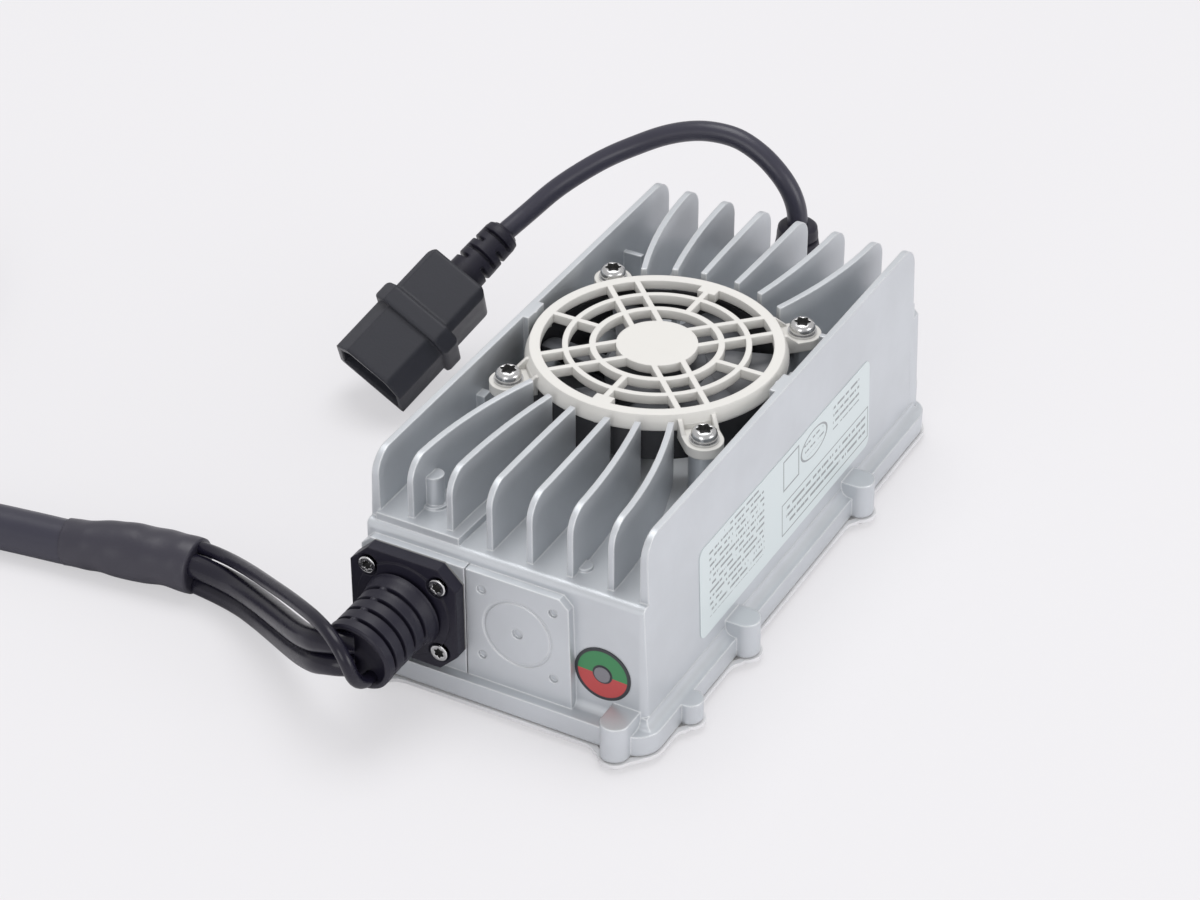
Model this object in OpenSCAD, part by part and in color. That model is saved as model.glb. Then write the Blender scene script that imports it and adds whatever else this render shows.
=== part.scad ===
// Fan-cooled battery charger: a finned die-cast case on a screwed base plate,
// with a mains lead and plug behind and a three-core output cable in front.
// Millimetres. X runs along the front, +Y to the rear, +Z up, origin on the
// standing surface under the middle of the base.

/* [Case] */
// Width of the base flange
case_w = 102; // [96:1:110]
// Length of the base flange
case_l = 198; // [192:1:206]
// Height of the walls and fins above the standing surface
case_h = 74; // [70:1:80]
// Height of the floor that the fins stand on
floor_z = 52.3; // [50:0.1:54]
// Thickness of the sheet base plate
plate_t = 1.2; // [1:0.1:2]
// Half width of the body where it leaves the flange
foot_x = 47.2; // [46:0.1:48]
// Half width of the body at the top of the walls
top_x = 45; // [44:0.1:46]
// Half length of the body
body_y = 92.9; // [92:0.1:94]

/* [Fins] */
// Distance between the inner fins at their ends
fin_pitch = 13.2; // [12:0.1:13.6]
// Thickness of an inner fin
fin_t = 1.9; // [1.4:0.1:2.4]
// Radius of the rounded ends of the fins, seen from the side
fin_end_r = 7.4; // [5:0.1:9]
// Radius of the round well for the fan
well_r = 42.6; // [42:0.1:42.8]
// Distance of the fan's centre behind the middle of the case
fan_y = 1.6; // [0:0.1:2]

/* [Fan] */
// Outer radius of the fan's ring
fan_r = 39.3; // [38.8:0.1:39.5]
// Number of blades
blades = 7; // [5:1:9]
// Radius of the blade tips
tip_r = 36.9; // [35:0.1:37]
// Pitch of the blades in degrees
blade_pitch = 34; // [26:1:38]
// Distance from the fan's centre to each guard screw, along X and along Y
guard_s = 33; // [33:0.1:33.4]

/* [Cable entries] */
// Distance of the output entry left of the middle
out_x = 29.1; // [28:0.1:29.5]
// Distance of the input entry left of the middle
in_x = 6.1; // [5:0.1:7]
// Height of both entries
entry_z = 31.2; // [30:0.1:32]
// Side of the square entry flanges
flange_w = 35.6; // [35:0.1:36]
// Distance between the flange screws
screw_pitch = 23.7; // [23:0.1:24]

/* [Leads] */
// Diameter of the mains lead
lead_d = 6.8; // [6:0.1:8]
// Diameter of the sheathed output cable
cable_d = 14.4; // [14:0.1:14.6]
// Diameter of a power core
core_d = 7.4; // [7:0.1:7.6]
// Diameter of the sense core
sense_d = 4.2; // [4:0.1:4.4]

/* [Hidden] */
$fn = 64;
plate_z = 2;
gasket_z = plate_z + plate_t;
cast_z = gasket_z + 0.4;
flange_z = 10.4;
boss_z = 15.5;
low_boss_z = entry_z - flange_w / 2 - 0.4;
pad_y = 95.7;
pad_z = 48.8;
draft = (foot_x - top_x) / (case_h - flange_z);
corner_bosses = [for (x = [-1, 1], y = [-1, 1]) [40.6 * x, 100 * y]];
side_bosses = [for (x = [-1, 1], y = [-38.4, 42.6]) [51.7 * x, y]];
base_screw_at = concat(corner_bosses, side_bosses);
posts = [for (x = [-1, 1], y = [-1, 1]) [guard_s * x, fan_y + guard_s * y]];
inner_fins = [[-2.5, 0.0035], [-1.5, 0.0022], [-0.5, 0.0004],
              [0.5, 0.0004], [1.5, 0.0022], [2.5, 0.0035]];
plug_at = [-117, 20.6, 13.3];
plug_turn = [31.1, 22.7, -7];
coil_at = [-339, -39.4];
coil_r0 = 86.4;
coil_start = -78.7;
coil_turns = 2;
tail_rise = 99.3;

// Route of the mains lead, from the plug's strain relief over to the rear boot
lead_route = [[-96.6, 76.4, 45.5], [-92.1, 84.2, 50.3], [-86.6, 91.5, 56.3],
    [-80, 97, 62], [-72.5, 102.6, 67.3], [-64, 106.8, 72.2],
    [-54.5, 109.8, 77.2], [-45.4, 111.8, 80.4], [-37, 113, 81.6],
    [-28.6, 113.8, 80.8], [-20.5, 114, 77.2], [-14, 114, 72],
    [-9.6, 114, 66.4], [-7.2, 114, 60.6], [-6.4, 114, 55]];

// Routes of the three cores, from the output boot to the mouth of the sleeve
core_a = [[-32.6, -122.4, 32.8], [-36.4, -124.9, 32.8], [-40.4, -125.4, 32],
    [-44.6, -124.8, 30.5], [-51, -121.6, 27.8], [-59.4, -116, 24.4],
    [-68.4, -109.8, 20.9], [-77, -104, 17.6], [-85.6, -98.8, 14.7],
    [-94.4, -94.6, 12.5], [-103, -92.6, 11.8], [-112, -91.8, 11.7]];
core_b = [[-32.6, -122.4, 24.4], [-36.4, -124.6, 24.4], [-40.4, -124.9, 23.6],
    [-44.4, -124, 21.9], [-49.4, -121.2, 19.4], [-56.4, -116.3, 16],
    [-64.6, -110.4, 12.5], [-73.4, -104.2, 9.1], [-82.4, -98.5, 6.3],
    [-91.8, -93.9, 4.5], [-101.6, -91.4, 3.9], [-112, -90.4, 4.2]];
core_c = [[-26.9, -122.4, 22.2], [-27, -126, 22.7], [-27.2, -129, 24.5],
    [-27.5, -131.2, 27.4], [-28.1, -132.2, 30.8], [-29.6, -132.2, 34.2],
    [-32.6, -131, 37], [-37.2, -128.6, 38.6], [-44, -124.6, 38.2],
    [-52, -119.6, 36], [-61, -113.8, 32.8], [-70.6, -107.6, 29],
    [-80.4, -101.2, 25], [-89.8, -95.2, 21], [-98, -90.6, 17.8],
    [-105.4, -87.8, 15.8], [-112, -86.9, 15]];

// Route of the sheathed cable, from inside the sleeve to the start of the coil
cable_route = [[-146, -94.2, 7.6], [-155, -95.9, 7.3], [-166, -97.4, 7.2],
    [-179, -99.4, 7.2], [-196, -102.3, 7.2], [-228, -107.8, 7.2],
    [-260, -113.4, 7.2], [-292, -118.9, 7.2]];

// Half width of the drafted body at height z
function side_x(z) = foot_x - draft * (z - flange_z);

// Unit vector and the direction of a route at point i
function unit(v) = v / norm(v);
function along(p, i) = unit(p[min(i + 1, len(p) - 1)] - p[max(i - 1, 0)]);

// Rectangle with round corners about the origin
module round_rect(w, l, r) {
    square([w - 2 * r, l], center = true);
    square([w, l - 2 * r], center = true);
    for (x = [-1, 1], y = [-1, 1])
        translate([x * (w / 2 - r), y * (l / 2 - r)]) circle(r);
}

// Rectangle from a to b with its two upper corners rounded
module round_top(a, b, r) {
    translate(a) square([b[0] - a[0], b[1] - a[1] - r]);
    translate([a[0] + r, a[1]]) square([b[0] - a[0] - 2 * r, b[1] - a[1]]);
    for (x = [a[0] + r, b[0] - r]) translate([x, b[1] - r]) circle(r);
}

// Drawing in X and Z pushed along Y from y0 to y1
module along_y(y0, y1) {
    translate([0, y1, 0]) rotate([90, 0, 0]) linear_extrude(y1 - y0) children();
}

// Drawing in Y and Z pushed along X from x0 to x1
module along_x(x0, x1) {
    translate([x0, 0, 0]) rotate([90, 0, 90]) linear_extrude(x1 - x0) children();
}

// Carries a shape that stands on the origin to point p, looking along d
module stand_at(p, d) {
    translate(p) rotate([0, acos(unit(d)[2]), atan2(d[1], d[0])]) children();
}

// Plain tube swept along a route, r being one radius or one for each point;
// ref is a direction that the route never runs along
module tube(p, r, ref = [0, 0, 1], n = 10) {
    last = len(p) - 1;
    pts = [for (i = [0:last], k = [0:n - 1])
        let (t = along(p, i), u = unit(cross(t, ref)), v = cross(u, t),
             q = is_list(r) ? r[i] : r)
        p[i] + q * (cos(360 * k / n) * u + sin(360 * k / n) * v)];
    sides = [for (i = [0:last - 1], k = [0:n - 1])
        let (a = i * n, m = (k + 1) % n) [a + k, a + m, a + n + m, a + n + k]];
    polyhedron(pts, concat(sides, [[for (k = [n - 1:-1:0]) k]],
        [[for (k = [0:n - 1]) last * n + k]]), convexity = 6);
}

// Pan-head screw, head down to the origin plane, shaft along -Z
module pan_screw(head_r, head_h, shaft_r, shaft_l) {
    translate([0, 0, -shaft_l]) cylinder(h = shaft_l + 0.2, r = shaft_r, $fn = 32);
    difference() {
        union() {
            cylinder(h = head_h * 0.45, r = head_r, $fn = 40);
            translate([0, 0, head_h * 0.45])
                cylinder(h = head_h * 0.55, r1 = head_r, r2 = head_r * 0.66, $fn = 40);
        }
        translate([0, 0, head_h * 0.35]) cylinder(h = head_h, r = head_r * 0.36, $fn = 6);
    }
}

// Countersunk screw whose flat top lies in the origin plane
module flat_screw(head_r, shaft_r, shaft_l) {
    difference() {
        union() {
            translate([0, 0, -shaft_l]) cylinder(h = shaft_l, r = shaft_r, $fn = 32);
            translate([0, 0, -2]) cylinder(h = 1.8, r1 = shaft_r, r2 = head_r, $fn = 40);
            translate([0, 0, -0.2]) cylinder(h = 0.2, r = head_r, $fn = 40);
        }
        translate([0, 0, -1.2]) cylinder(h = 2, r = head_r * 0.42, $fn = 6);
    }
}

// Round screw ear standing d beyond a straight edge, its web run out into the
// edge on the left, and on the right too unless a corner follows
module ear(r, d, corner = false) {
    translate([0, d]) circle(r);
    polygon(concat([[-r - 5.4, -3], [-r - 5.4, 0], [-r - 2.6, 0.5], [-r - 0.6, 2],
        [-r * 0.9, d + r * 0.42], [r * 0.9, d + r * 0.42]],
        corner ? [[r + 0.5, 0.9], [r + 2, -0.6], [r + 3.4, -3]]
            : [[r + 0.6, 2], [r + 2.6, 0.5], [r + 5.4, 0], [r + 5.4, -3]]));
}

// Flat slab with the base's outline and ears, from height z and h thick, g wider
// all round
module base_slab(z, h, g) translate([0, 0, z]) {
    linear_extrude(h) round_rect(case_w + 2 * g, case_l + 2 * g, 8 + g);
    for (x = [0, 1], y = [0, 1]) mirror([x, 0, 0]) mirror([0, y, 0])
        translate([corner_bosses[3][0], case_l / 2 + g, 0]) linear_extrude(h)
            ear(4.4 + g, corner_bosses[3][1] - case_l / 2 - g, true);
    for (p = side_bosses) translate([sign(p[0]) * (case_w / 2 + g), p[1], 0])
        rotate([0, 0, -90 * sign(p[0])]) linear_extrude(h)
            ear(4.6 + g, abs(p[0]) - case_w / 2 - g);
    for (s = [-1, 1]) translate([s * (case_w / 2 + g), -74.6 * s, 0])
        rotate([0, 0, -90 * s]) linear_extrude(h) ear(4 + g, 0.8 - g);
}

// Clearance holes of the base screws, upward from the floor
module base_holes() {
    for (p = base_screw_at) translate([p[0], p[1], 0]) cylinder(h = 6, r = 1.8, $fn = 32);
}

// Plan of one curved inner fin: outermost where it ends, drawn in at the well
module fin_plan(x0, k) {
    s = sign(x0);
    steps = 30;
    mid = function(y) x0 - s * k * pow(max(88 - abs(y - fan_y), 0), 2);
    ys = [for (i = [0:steps]) -88.6 + i * 180.3 / steps];
    polygon(concat([for (y = ys) [mid(y) - fin_t / 2, y]],
        [for (i = [steps:-1:0]) [mid(ys[i]) + fin_t / 2, ys[i]]]));
}

// Body below the fins: drafted sides, round upright corners, rounded top edge
module body_block() {
    intersection() {
        along_y(-body_y, body_y) polygon([[-foot_x, flange_z - 1], [foot_x, flange_z - 1],
            [side_x(floor_z), floor_z], [-side_x(floor_z), floor_z]]);
        along_x(-60, 60) round_top([-body_y, 0], [body_y, floor_z], 2.4);
        linear_extrude(80) round_rect(2 * foot_x, 2 * body_y, 3);
    }
}

// Hollow fillet that runs the body into the flange
module foot_fillet() {
    r = 3;
    arc = [for (a = [0:15:90]) [r - r * sin(a), r - r * cos(a)]];
    intersection() {
        along_y(-case_l / 2, case_l / 2) polygon(concat(
            [for (p = arc) [foot_x + p[0], flange_z + p[1]]],
            [for (i = [len(arc) - 1:-1:0]) [-foot_x - arc[i][0], flange_z + arc[i][1]]]));
        along_x(-case_w / 2, case_w / 2) polygon(concat(
            [for (p = arc) [body_y + p[0] * 0.7, flange_z + p[1]]],
            [for (i = [len(arc) - 1:-1:0]) [-body_y - arc[i][0] * 0.7, flange_z + arc[i][1]]]));
        linear_extrude(40) round_rect(case_w, case_l, 8);
    }
}

// Outer wall, from the floor to the top, on the side given by s
module side_wall(s) {
    intersection() {
        along_y(-100, 100) polygon([[s * side_x(40), 40], [s * top_x, case_h],
            [s * (top_x - 2), case_h], [s * 42.8, floor_z], [s * 42.6, 40]]);
        along_x(-60, 60) round_top([-89.7, 0], [91.7, case_h], fin_end_r);
    }
}

// Six curved fins with the round well for the fan cut out of them
module inner_fins_solid() {
    difference() {
        intersection() {
            translate([0, 0, 45]) linear_extrude(case_h - 45)
                for (f = inner_fins) fin_plan(f[0] * fin_pitch, f[1]);
            along_x(-60, 60) round_top([-88.6, 0], [91.7, case_h], fin_end_r);
        }
        translate([0, fan_y, floor_z]) cylinder(h = 30, r = well_r, $fn = 96);
    }
}

// Two flat entry pads on the front, the left one hidden by its flange
module entry_pads() {
    along_y(-pad_y, -body_y + 3) polygon([[-foot_x, flange_z - 2], [-11.2, flange_z - 2],
        [-11.2, pad_z], [-side_x(pad_z) + 3, pad_z], [-side_x(pad_z - 3), pad_z - 3],
        [-foot_x, flange_z]]);
    along_y(-pad_y, -body_y + 3) polygon([[-10.8, flange_z - 2], [24.1, flange_z - 2],
        [23.1, pad_z - 3], [20.1, pad_z], [-10.8, pad_z]]);
}

// Moulded marks on the spare pad: four pilots, a centre pop and a knock-out ring
module spare_marks() {
    rotate([90, 0, 0]) {
        for (x = [-1, 1], y = [-1, 1]) translate([x * screw_pitch / 2, y * screw_pitch / 2, -0.9])
            cylinder(h = 2, r = 1.4, $fn = 24);
        translate([0, 0, -0.9]) cylinder(h = 2, r = 1.7, $fn = 24);
        translate([0, 0, -0.25]) difference() {
            cylinder(h = 2, r = 11.5);
            translate([0, 0, -1]) cylinder(h = 4, r = 10.7);
        }
    }
}

// Screw bores and wire hole behind the fitted entry flange
module entry_bores() {
    rotate([90, 0, 0]) {
        for (x = [-1, 1], y = [-1, 1]) translate([x * screw_pitch / 2, y * screw_pitch / 2, -8])
            cylinder(h = 12, r = 1.55, $fn = 32);
        translate([0, 0, -12]) cylinder(h = 16, r = 8);
    }
}

module housing() {
    color("silver") difference() {
        union() {
            translate([0, 0, cast_z]) linear_extrude(flange_z - cast_z)
                round_rect(case_w, case_l, 8);
            // screw bosses, run back into the walls; the front left one stays below
            // the entry flange above it
            for (p = corner_bosses) translate([p[0], p[1], cast_z])
                let (h = (p == corner_bosses[0] ? low_boss_z : boss_z) - cast_z) {
                    cylinder(h = h, r = 4.4, $fn = 48);
                    translate([-4.4, p[1] > 0 ? -9 : 0, 0]) cube([8.8, 9, h]);
                }
            for (p = side_bosses) translate([p[0], p[1], cast_z]) {
                cylinder(h = boss_z - cast_z, r = 4.6, $fn = 48);
                translate([p[0] > 0 ? -6 : 0, -4.6, 0]) cube([6, 9.2, boss_z - cast_z]);
            }
            for (s = [-1, 1]) translate([51.8 * s, -74.6 * s, cast_z])
                cylinder(h = flange_z - cast_z, r = 4, $fn = 48);
            foot_fillet();
            body_block();
            for (s = [-1, 1]) side_wall(s);
            inner_fins_solid();
            for (a = [0, 180]) rotate([0, 0, a]) entry_pads();
            // raised plateau at the front left, beside the third fin
            difference() {
                translate([0, 0, floor_z - 1]) linear_extrude(3.5)
                    polygon([[-43.5, -91.2], [-15.5, -91.2], [-14.6, -70], [-11.2, -38], [-43.5, -14]]);
                translate([0, fan_y, floor_z]) cylinder(h = 30, r = well_r, $fn = 96);
            }
            // screw posts of the guard
            for (p = posts) translate([p[0], p[1], floor_z - 1])
                cylinder(h = 66.2 - floor_z + 1, r = 4.6, $fn = 48);
            // tongues that steady the guard, on both walls
            for (s = [-1, 1]) {
                translate([s * 42.9, fan_y - 1.7, floor_z - 1]) {
                    translate([-1.8, -4.8, 0]) cube([3.6, 9.6, case_h - floor_z + 1]);
                    cylinder(h = case_h - floor_z + 1, r = 2.1, $fn = 40);
                }
            }
            // locating ribs by the fan
            translate([38.9, 12.6, floor_z - 1]) cube([4.5, 1.8, 17]);
            translate([39.6, 32.4, floor_z - 1]) cube([3.8, 1.8, 20]);
            translate([-43.4, -34, floor_z - 1]) cube([3.4, 4, 11]);
            translate([-43.4, 60, floor_z - 1]) cube([7, 1.8, 11]);
            // cast post with a slanted top, and a low boss
            difference() {
                translate([-30.5, -79, floor_z]) {
                    cylinder(h = 13, r = 2.9, $fn = 40);
                    cylinder(h = 3.4, r = 4.1, $fn = 40);
                }
                translate([-30.5, -79, floor_z + 13.2]) rotate([0, -24, 0])
                    translate([-6, -6, 0]) cube([12, 12, 6]);
            }
            translate([21.4, -82.8, floor_z - 1]) cylinder(h = 2, r = 2.5, $fn = 32);
        }
        // inside space, open towards the base plate
        along_y(-89.6, 89.6) polygon([[-44.4, 0], [44.4, 0], [42.8, floor_z - 4.3], [-42.8, floor_z - 4.3]]);
        for (p = base_screw_at) translate([p[0], p[1], 0]) cylinder(h = 11.6, r = 1.55, $fn = 32);
        for (p = posts) translate([p[0], p[1], floor_z + 1]) cylinder(h = 20, r = 2.05, $fn = 32);
        for (a = [0:3]) translate([0, fan_y, floor_z - 3]) rotate([0, 0, 71 + 90 * a])
            translate([32.6, 0, 0]) cylinder(h = 6, r = 1.3, $fn = 32);
        translate([in_x, -pad_y, entry_z]) spare_marks();
        translate([-out_x, -pad_y, entry_z]) entry_bores();
        translate([out_x, pad_y, entry_z]) rotate([0, 0, 180]) spare_marks();
        translate([-in_x, pad_y, entry_z]) rotate([0, 0, 180]) entry_bores();
    }
}

module base_plate() {
    color("gainsboro") difference() {
        base_slab(plate_z, plate_t, 0.8);
        base_holes();
    }
}

module base_gasket() {
    color("dimgray") difference() {
        base_slab(gasket_z, cast_z - gasket_z, -0.6);
        translate([-44.4, -89.6, 0]) cube([88.8, 179.2, 6]);
        base_holes();
    }
}

module base_screws() {
    color("lightgray") for (p = base_screw_at)
        translate([p[0], p[1], plate_z]) mirror([0, 0, 1]) pan_screw(3.8, 2, 1.5, 9);
}

// Guard of the fan seen from above: rim, rings, hub and bars
module guard_plan() {
    difference() {
        circle(40.2, $fn = 96);
        circle(35.5, $fn = 96);
    }
    difference() {
        circle(28.8, $fn = 80);
        circle(27, $fn = 80);
    }
    difference() {
        circle(20.6);
        circle(18.6);
    }
    circle(12.5);
    // pairs of bars towards the four ears
    for (a = [45:90:315], s = [-4.5, 4.5]) rotate([0, 0, a])
        translate([11, s - 0.9]) square([26, 1.8]);
    // single bars from the inner ring to the rim
    for (a = [0:90:270]) rotate([0, 0, a]) translate([19.5, -0.9]) square([17, 1.8]);
    for (a = [90, 270]) rotate([0, 0, a]) translate([32.4, -3]) square([4, 6]);
}

module fan_guard() {
    top = case_h;
    color("ivory") translate([0, fan_y, 0]) difference() {
        union() {
            difference() {
                union() {
                    translate([0, 0, top - 3]) linear_extrude(3) guard_plan();
                    // skirt under the rim
                    translate([0, 0, top - 4.7]) difference() {
                        cylinder(h = 3, r = 40.2, $fn = 96);
                        translate([0, 0, -1]) cylinder(h = 5, r = 38.7, $fn = 96);
                    }
                }
                // draft on the outside of the rim
                translate([0, 0, top - 4]) difference() {
                    cylinder(h = 5, r = 43, $fn = 96);
                    translate([0, 0, -0.1]) cylinder(h = 4.1, r1 = 40.4, r2 = 38.8, $fn = 96);
                }
            }
            // webs down to the ears, cut to the rim's curve
            for (a = [45:90:315]) rotate([0, 0, a]) {
                intersection() {
                    translate([30, -5.9, 66.2]) cube([12, 11.8, top - 69.2]);
                    difference() {
                        translate([0, 0, 60]) cylinder(h = top - 60, r = 40.2, $fn = 96);
                        translate([0, 0, 60]) cylinder(h = 40, r = 39.6, $fn = 96);
                    }
                }
                translate([39.7, -5.9, 66.2]) cube([7, 11.8, 3.2]);
                translate([norm([guard_s, guard_s]), 0, 66.2]) cylinder(h = 3.2, r = 5.9, $fn = 48);
                for (s = [-5.9, 4.5]) translate([39.9, s, 69]) rotate([90, 0, 0]) mirror([0, 0, 1])
                    linear_extrude(1.4)
                        polygon([[-1.4, -0.4], [-0.2, -1], [5, -1], [-0.2, 3.6], [-1.4, 3.6]]);
            }
            // pegs that hold the fan down
            for (a = [0:90:270]) rotate([0, 0, a])
                translate([38.1, 0, 68.5]) cylinder(h = 4, r = 1.3, $fn = 32);
        }
        for (a = [45:90:315]) rotate([0, 0, a]) translate([norm([guard_s, guard_s]), 0, 60])
            cylinder(h = 14, r = 2.3, $fn = 32);
    }
}

module guard_washers() {
    color("lightgray") for (p = posts) translate([p[0], p[1], 69.4]) difference() {
        cylinder(h = 0.8, r = 4.5, $fn = 40);
        translate([0, 0, -1]) cylinder(h = 3, r = 2.2, $fn = 32);
    }
}

module guard_screws() {
    color("silver") for (p = posts) translate([p[0], p[1], 70.2]) pan_screw(4, 3.2, 2, 14);
}

module fan_frame() {
    color([0.16, 0.16, 0.18]) translate([0, fan_y, 0]) difference() {
        union() {
            translate([0, 0, 58.5]) cylinder(h = 10, r = fan_r, $fn = 96);
            translate([0, 0, floor_z]) cylinder(h = 2, r = 17);
            translate([0, 0, floor_z]) cylinder(h = 11.2, r = 4.2, $fn = 40);
            for (a = [0:3]) rotate([0, 0, 71 + 90 * a]) {
                translate([10, -3, floor_z]) cube([24, 6, 2]);
                translate([32.6, 0, floor_z]) cylinder(h = 2, r = 4, $fn = 40);
                intersection() {
                    translate([30, -7, floor_z]) cube([12, 14, 8]);
                    translate([0, 0, floor_z]) cylinder(h = 8, r = fan_r, $fn = 96);
                }
            }
        }
        difference() {
            translate([0, 0, floor_z + 2]) cylinder(h = 20, r = tip_r + 0.6, $fn = 96);
            translate([0, 0, floor_z]) cylinder(h = 11.2, r = 4.2, $fn = 40);
            translate([0, 0, floor_z]) cylinder(h = 2, r = 50);
        }
        translate([0, 0, floor_z + 2]) cylinder(h = 20, r = 3, $fn = 40);
        for (a = [0:3]) rotate([0, 0, 71 + 90 * a]) translate([32.6, 0, 40])
            cylinder(h = 20, r = 1.6, $fn = 32);
    }
}

module fan_screws() {
    color("silver") translate([0, fan_y, 0]) for (a = [0:3]) rotate([0, 0, 71 + 90 * a])
        translate([32.6, 0, floor_z + 2]) pan_screw(2.7, 1.6, 1.25, 4.6);
}

module fan_bearings() {
    color("goldenrod") for (z = [floor_z + 2.4, floor_z + 8.4]) translate([0, fan_y, z]) difference() {
        cylinder(h = 2.6, r = 3, $fn = 40);
        translate([0, 0, -1]) cylinder(h = 5, r = 1.54, $fn = 40);
    }
}

module fan_stator() {
    color("peru") translate([0, fan_y, floor_z + 3.2]) difference() {
        union() {
            cylinder(h = 5.6, r = 8);
            for (a = [0:90:270]) rotate([0, 0, a]) {
                translate([0, -2.2, 0.4]) cube([10.6, 4.4, 4.8]);
                intersection() {
                    translate([9, -7, 0]) cube([6, 14, 5.6]);
                    difference() {
                        cylinder(h = 5.6, r = 13);
                        translate([0, 0, -1]) cylinder(h = 8, r = 10.4);
                    }
                }
            }
        }
        translate([0, 0, -1]) cylinder(h = 8, r = 4.25, $fn = 40);
    }
}

// One cambered blade, part of a thin drum lying along the radius
module fan_blade() {
    intersection() {
        difference() {
            cylinder(h = 8.6, r = tip_r, $fn = 96);
            translate([0, 0, -1]) cylinder(h = 12, r = 15.2);
        }
        translate([0, 0, 4.3]) rotate([blade_pitch, 0, 0]) translate([0, 0, -22]) rotate([0, 90, 0])
            difference() {
                cylinder(h = 60, r = 22.5, $fn = 96);
                translate([0, 0, -1]) cylinder(h = 62, r = 21.3, $fn = 96);
            }
        translate([10, -11, 0]) cube([30, 22, 9]);
    }
}

module fan_impeller() {
    color([0.12, 0.12, 0.13]) translate([0, fan_y, 0]) difference() {
        union() {
            translate([0, 0, 56.8]) cylinder(h = 9.2, r = 16, $fn = 80);
            translate([0, 0, 66]) cylinder(h = 1, r1 = 16, r2 = 15, $fn = 80);
            for (i = [0:blades - 1]) rotate([0, 0, 20 + 360 * i / blades])
                translate([0, 0, 57.6]) fan_blade();
        }
        difference() {
            translate([0, 0, 56]) cylinder(h = 9.4, r = 14.4, $fn = 80);
            translate([0, 0, 63.9]) cylinder(h = 3, r = 4, $fn = 40);
        }
        translate([0, 0, 50]) cylinder(h = 16.4, r = 1.5, $fn = 40);
    }
}

module fan_shaft() {
    color("silver") translate([0, fan_y, floor_z + 2.3]) cylinder(h = 11.8, r = 1.5, $fn = 40);
}

// Plan of the square flange with cut corners
module flange_plan() {
    h = flange_w / 2;
    c = 6;
    polygon([[-h, -h + c], [-h + c, -h], [h - c, -h], [h, -h + c],
        [h, h - c], [h - c, h], [-h + c, h], [-h, h - c]]);
}

// Flange, its screws and its gasket, drawn flat with +Z away from the case
module flange_solid() {
    difference() {
        union() {
            translate([0, 0, 0.6]) linear_extrude(4.3) flange_plan();
            translate([0, 0, 4.9]) cylinder(h = 0.6, r = 15.6);
        }
        for (x = [-1, 1], y = [-1, 1]) translate([x * screw_pitch / 2, y * screw_pitch / 2, 0]) {
            cylinder(h = 10, r = 1.7, $fn = 32);
            translate([0, 0, 3.05]) cylinder(h = 1.9, r1 = 1.7, r2 = 3.6, $fn = 40);
            translate([0, 0, 4.85]) cylinder(h = 2, r = 3.6, $fn = 40);
        }
    }
}

module flange_gasket_solid() {
    linear_extrude(0.6) difference() {
        flange_plan();
        circle(8);
        for (x = [-1, 1], y = [-1, 1]) translate([x * screw_pitch / 2, y * screw_pitch / 2])
            circle(1.8, $fn = 32);
    }
}

module flange_screws_solid() {
    for (x = [-1, 1], y = [-1, 1]) translate([x * screw_pitch / 2, y * screw_pitch / 2, 5])
        flat_screw(3.4, 1.5, 11);
}

// Faces of the two entries: the output one in front, the input one behind
module at_output() translate([-out_x, -pad_y, entry_z]) rotate([90, 0, 0]) children();
module at_input() translate([-in_x, pad_y, entry_z]) rotate([90, 0, 180]) children();

module output_flange() color([0.2, 0.2, 0.22]) at_output() flange_solid();
module output_gasket() color("black") at_output() flange_gasket_solid();
module output_flange_screws() color("silver") at_output() flange_screws_solid();
module input_flange() color([0.2, 0.2, 0.22]) at_input() flange_solid();
module input_gasket() color("black") at_input() flange_gasket_solid();
module input_flange_screws() color("silver") at_input() flange_screws_solid();

// Ribbed rubber elbow: discs stood along a path, with a slimmer core between,
// cut off flat against the flange, which faces -Y or +Y as side says
module ribbed_elbow(p, r, gap, side) {
    n = len(p) - 1;
    difference() {
        union() {
            for (i = [0:n]) stand_at(p[i], along(p, i)) translate([0, 0, i == 0 ? -1 : -1.6])
                cylinder(h = i == 0 ? 3.4 : (i == n ? 1.6 : 3.2), r = r[i], $fn = 48);
            for (i = [0:n - 1]) let (d = p[i + 1] - p[i]) stand_at(p[i], d)
                cylinder(h = norm(d), r1 = r[i] - gap, r2 = r[i + 1] - gap, $fn = 48);
            for (i = [1:n - 1]) translate(p[i]) sphere(r[i] - gap, $fn = 48);
        }
        stand_at(p[0], [0, -side, 0]) cylinder(h = 30, r = 30);
    }
}

input_bend = [[-6.1, 101.2, 31.2], [-6.1, 105.8, 31.8], [-6.1, 109.8, 34.4],
    [-6.2, 112.6, 38.4], [-6.3, 113.8, 43.2], [-6.4, 114, 48.6], [-6.4, 114, 55]];

// Straight rubber boot of the output entry: a base, three rings and a lip on a
// slimmer core, tipped a little down and out, with the cores leaving its end
module output_boot() {
    root = [-out_x, -pad_y - 5.5, entry_z];
    way = [-1.8, -23.4, -2.5];
    color([0.18, 0.18, 0.2]) difference() {
        stand_at(root, way) {
            translate([0, 0, -1.5]) cylinder(h = 25, r = 10.2);
            translate([0, 0, -1.5]) cylinder(h = 6.2, r1 = 12.6, r2 = 11.8);
            for (i = [0:2]) translate([0, 0, 5.8 + 4.8 * i]) cylinder(h = 3.7, r = 11.5);
            translate([0, 0, 20.2]) cylinder(h = 3.4, r = 11.6);
        }
        stand_at(root, [0, 1, 0]) cylinder(h = 30, r = 30);
        stand_at(root, way) translate([0, 0, 22.8]) cylinder(h = 3, r = 9.8);
    }
}

module input_boot() color([0.18, 0.18, 0.2])
    ribbed_elbow(input_bend, [12.5, 11, 9.6, 8.6, 7.8, 7.2, 6.4], 1, 1);

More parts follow.
